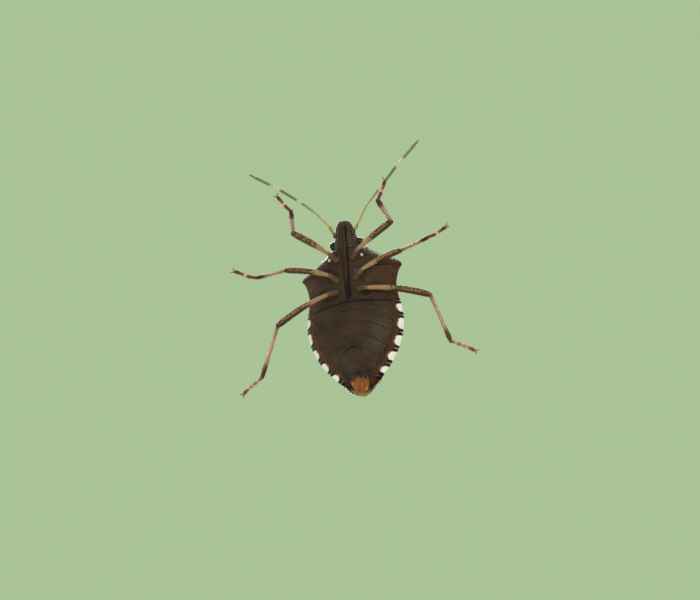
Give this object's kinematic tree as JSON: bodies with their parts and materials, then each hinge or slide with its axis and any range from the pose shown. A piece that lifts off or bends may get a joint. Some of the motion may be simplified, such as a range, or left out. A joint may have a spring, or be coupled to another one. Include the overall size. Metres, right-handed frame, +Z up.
{
  "type": "shield bug",
  "caption": "Life-size brown marmorated stink bug standing on six feet, with banded feelers and edge, folded wings and a beak along its underside.",
  "frame": {"origin": "on the floor under the middle of the bounding box", "axes": "+Z up, the head points along -Y, the bug's own left side is +X"},
  "size_m": [0.0206, 0.0216, 0.0062],
  "materials": {
    "back": "pitted, satin",
    "belly": "soft sheen",
    "abdomen": "soft sheen, banded black and white along the edge",
    "leg": "tan with dark specks",
    "foot": "dark red brown with a pale band",
    "feeler": "olive and dark with pale rings",
    "eye": "glossy, faceted",
    "membrane": "smoky film with raised veins"
  },
  "bodies": {
    "root": {"head": "back", "eye_left": "eye", "eye_right": "eye", "beak": "belly", "prothorax": "back", "thorax": "belly", "abdomen": "abdomen", "scutellum": "back", "forewing_left": "back", "forewing_right": "back", "wing_membranes": "membrane", "antenna_left_1": "feeler", "antenna_left_2": "feeler", "antenna_left_3": "feeler", "antenna_left_4": "feeler", "antenna_left_5": "feeler", "antenna_right_1": "feeler", "antenna_right_2": "feeler", "antenna_right_3": "feeler", "antenna_right_4": "feeler", "antenna_right_5": "feeler", "front_left_coxa": "leg", "front_left_femur": "leg", "front_left_tibia": "leg", "front_left_tarsus": "foot", "front_right_coxa": "leg", "front_right_femur": "leg", "front_right_tibia": "leg", "front_right_tarsus": "foot", "middle_left_coxa": "leg", "middle_left_femur": "leg", "middle_left_tibia": "leg", "middle_left_tarsus": "foot", "middle_right_coxa": "leg", "middle_right_femur": "leg", "middle_right_tibia": "leg", "middle_right_tarsus": "foot", "hind_left_coxa": "leg", "hind_left_femur": "leg", "hind_left_tibia": "leg", "hind_left_tarsus": "foot", "hind_right_coxa": "leg", "hind_right_femur": "leg", "hind_right_tibia": "leg", "hind_right_tarsus": "foot"}
  },
  "joints": []
}
